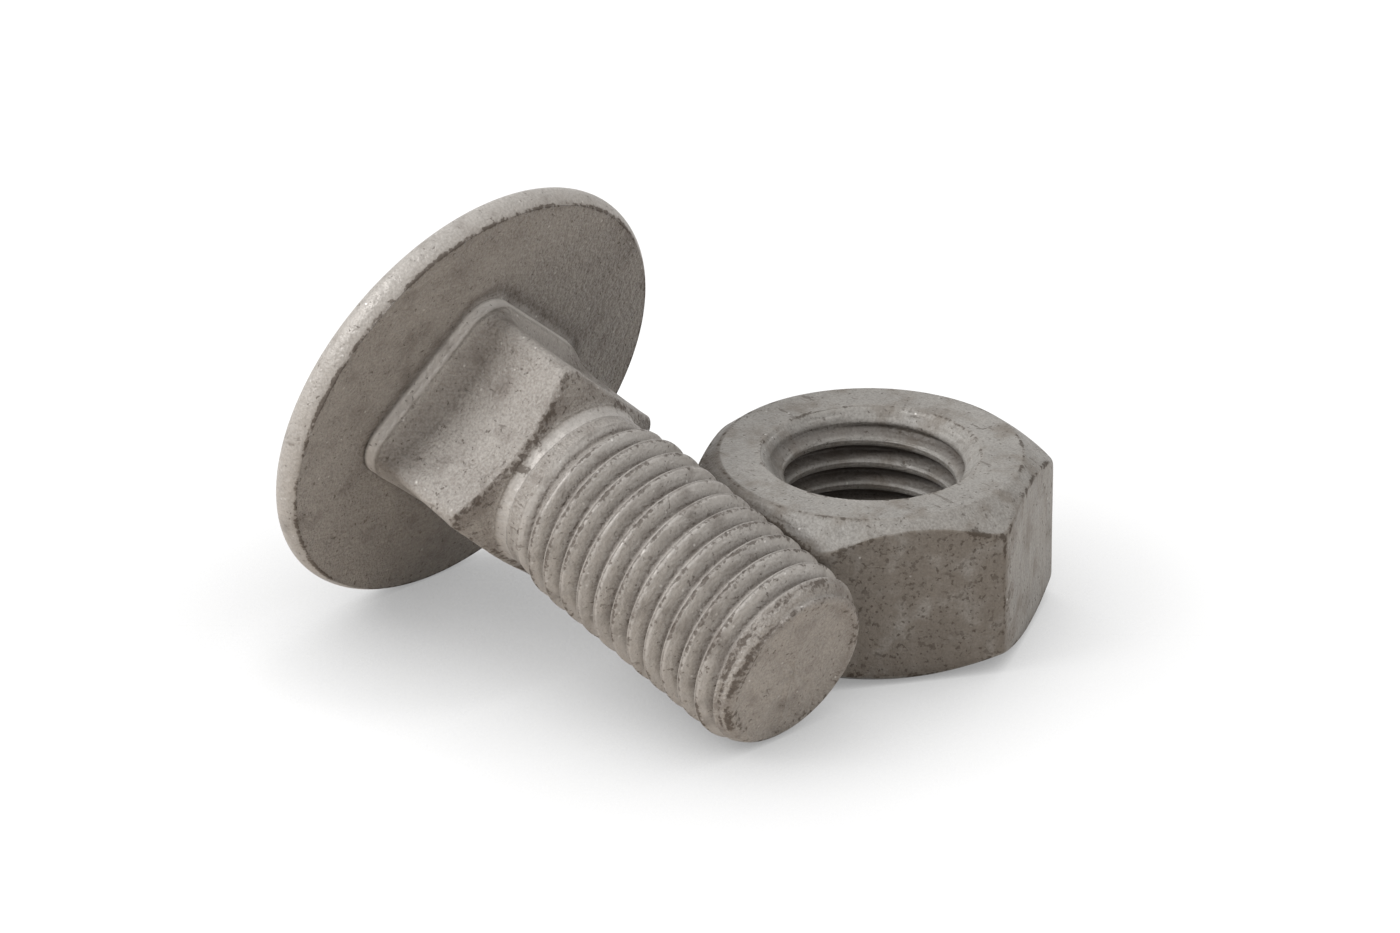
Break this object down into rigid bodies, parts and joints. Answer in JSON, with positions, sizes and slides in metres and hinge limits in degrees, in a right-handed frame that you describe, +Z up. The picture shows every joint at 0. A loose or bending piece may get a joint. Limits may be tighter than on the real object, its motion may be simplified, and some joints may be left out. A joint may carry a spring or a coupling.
{
  "type": "carriage bolt with hexagon nut",
  "caption": "Galvanised carriage bolt with a low domed head and square neck, lying beside its heavy hexagon nut.",
  "frame": {"origin": "middle of the box round the set, on the surface that both pieces lie on", "axes": "+Z up, along the nut's thread axis; +X the way the bolt points, seen from above, along the flat of the nut that the bolt lies beside; +Y from the bolt to the nut"},
  "size_m": [0.0478, 0.0546, 0.0371],
  "materials": {
    "bolt_zinc": "matt hot-dip zinc",
    "nut_zinc": "matt hot-dip zinc"
  },
  "bodies": {
    "root": {"bolt": "bolt_zinc", "nut": "nut_zinc"}
  },
  "joints": []
}
